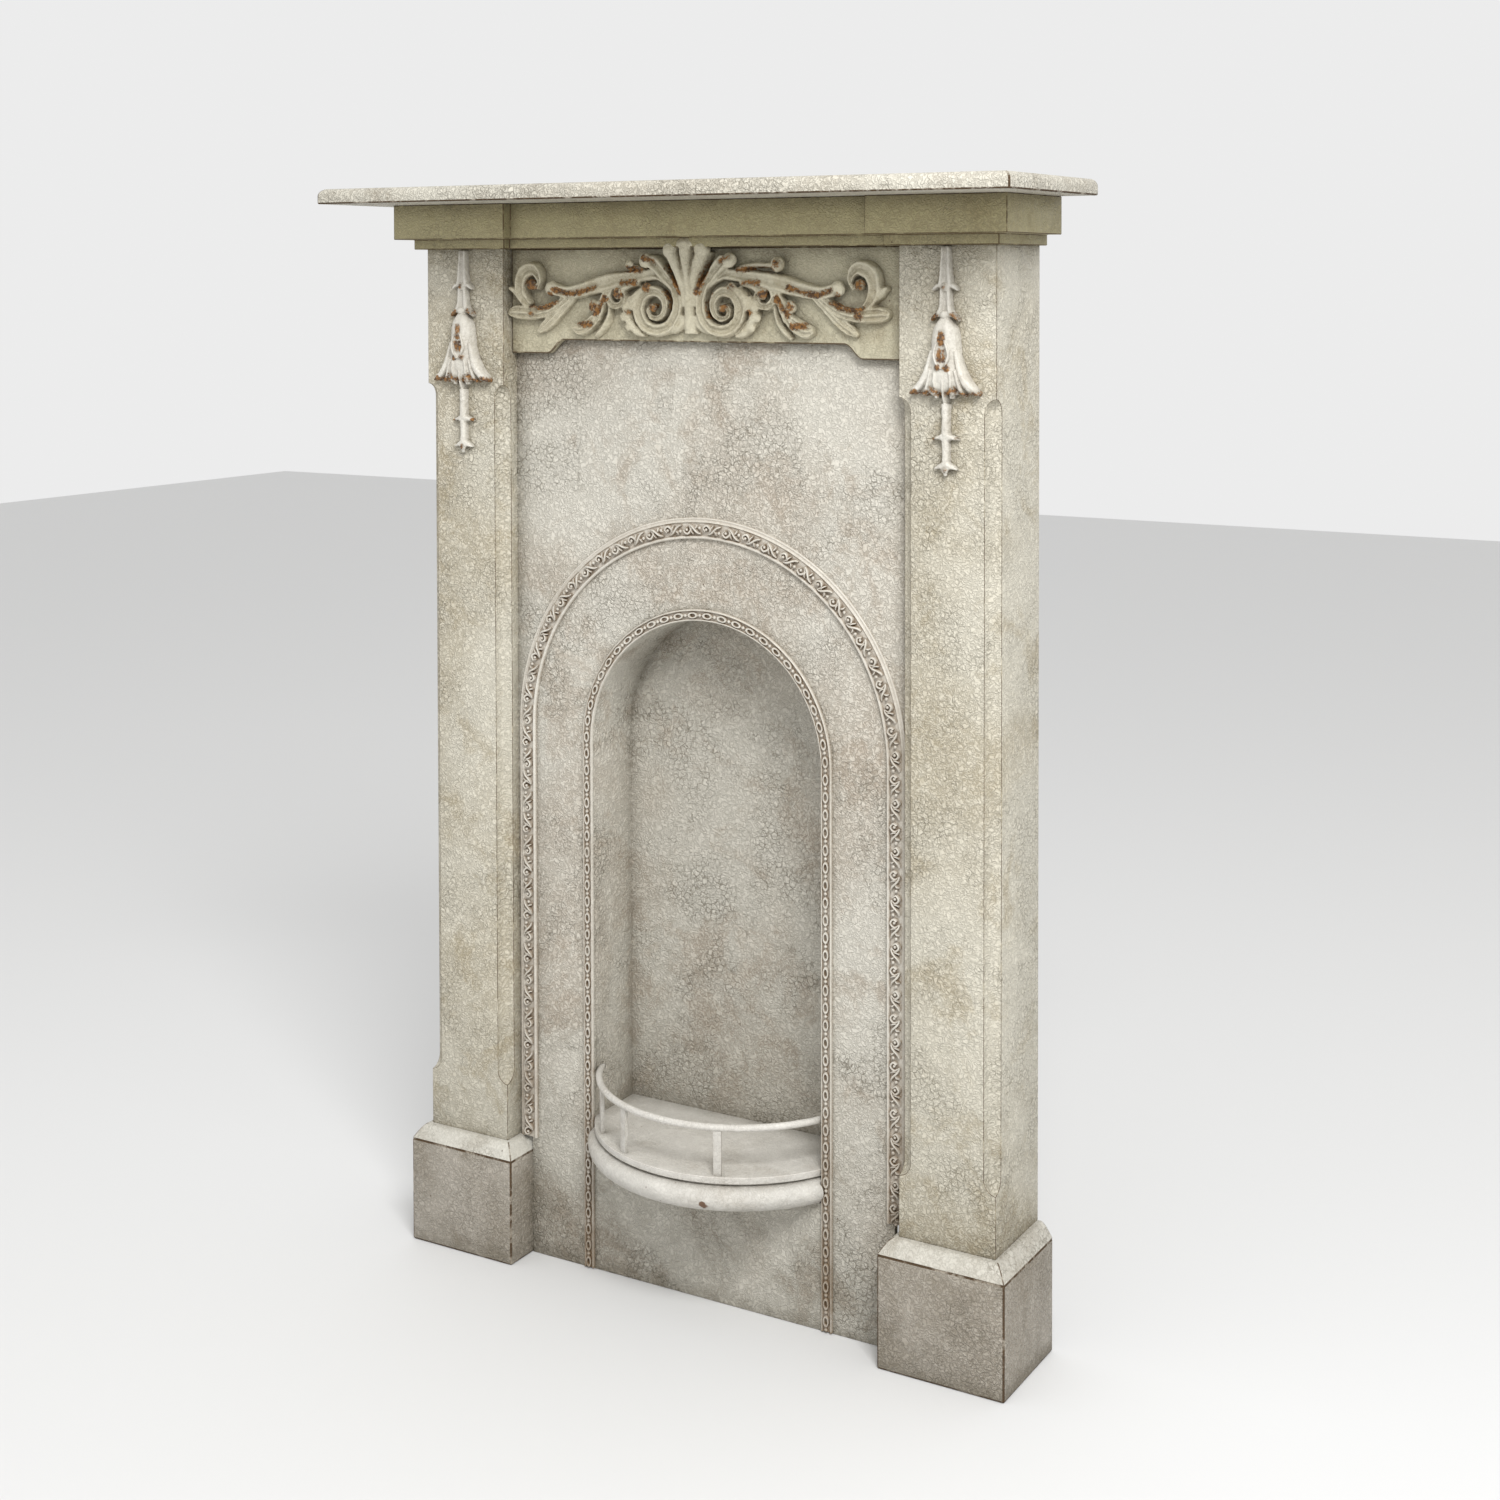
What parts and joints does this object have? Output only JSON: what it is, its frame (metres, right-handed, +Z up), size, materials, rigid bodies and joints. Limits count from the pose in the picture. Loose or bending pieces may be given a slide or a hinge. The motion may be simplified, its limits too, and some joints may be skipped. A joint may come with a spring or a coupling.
{
  "type": "fireplace surround",
  "caption": "Free-standing Victorian-pattern fireplace surround with shelf, chamfered pilasters on plinths, carved scroll frieze, arched niche and bowed hob with a rail, in worn cream paint.",
  "frame": {"origin": "centre of the bounding box on the floor, under the middle of the object", "axes": "+X to the viewer's right along the shelf, +Y back to the wall, +Z up; the front faces -Y"},
  "size_m": [0.796, 0.21, 1.15],
  "materials": {
    "cream_paint": "old cream paint, crackled and stained, rust at the arrises",
    "carving_paint": "thick cream paint worn to rust brown in the hollows",
    "hob_paint": "smoother off-white paint with chips"
  },
  "bodies": {
    "root": {"mantel_shelf": "cream_paint", "frieze": "cream_paint", "pilaster_left": "cream_paint", "pilaster_right": "cream_paint", "plinth_left": "cream_paint", "plinth_right": "cream_paint", "plinth_cap_left": "cream_paint", "plinth_cap_right": "cream_paint", "register_panel": "cream_paint", "frieze_board": "cream_paint", "scroll_ornament": "carving_paint", "bellflower_left": "carving_paint", "bellflower_right": "carving_paint", "arch_moulding": "carving_paint", "arch_bead": "carving_paint", "hob": "hob_paint", "hob_rail": "hob_paint"}
  },
  "joints": []
}
